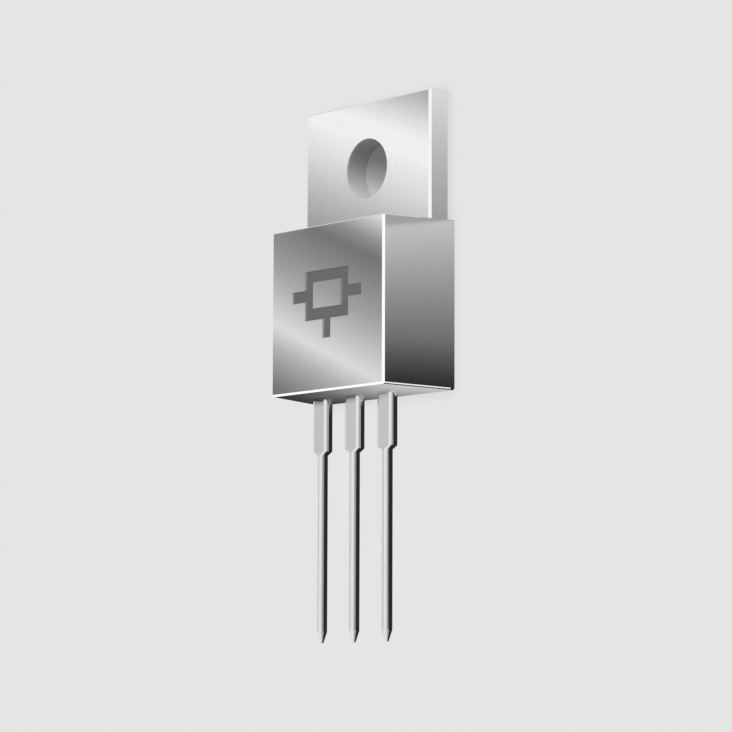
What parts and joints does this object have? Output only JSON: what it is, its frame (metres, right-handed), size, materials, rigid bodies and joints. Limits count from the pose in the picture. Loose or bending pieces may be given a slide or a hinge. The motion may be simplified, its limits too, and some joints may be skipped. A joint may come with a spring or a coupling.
{
  "type": "low-dropout voltage regulator",
  "caption": "Moulded voltage regulator package on a metal tab with a screw hole, and straight leads with wide shoulders and pointed tips.",
  "frame": {"origin": "centre of the screw hole, on the mounting face of the tab", "axes": "+Z out of the front of the part, away from the mounting face; +Y towards the free end of the tab; the leads point to -Y; the part lies on its mounting face at z = 0"},
  "size_m": [0.0106, 0.0284, 0.0041],
  "materials": {
    "moulding": "smooth silver-grey moulding with polished edges",
    "tinned_copper": "bright tin plate over copper",
    "silicon": "polished silicon",
    "solder": "dull solder",
    "bond_wire": "drawn aluminium wire"
  },
  "bodies": {
    "root": {"moulded_body": "moulding", "ground_tab_and_center_lead": "tinned_copper", "input_lead": "tinned_copper", "output_lead": "tinned_copper", "regulator_die": "silicon", "die_attach_solder": "solder", "input_bond_wire_1": "bond_wire", "input_bond_wire_2": "bond_wire", "output_bond_wire_1": "bond_wire", "output_bond_wire_2": "bond_wire", "ground_bond_wire": "bond_wire"}
  },
  "joints": []
}
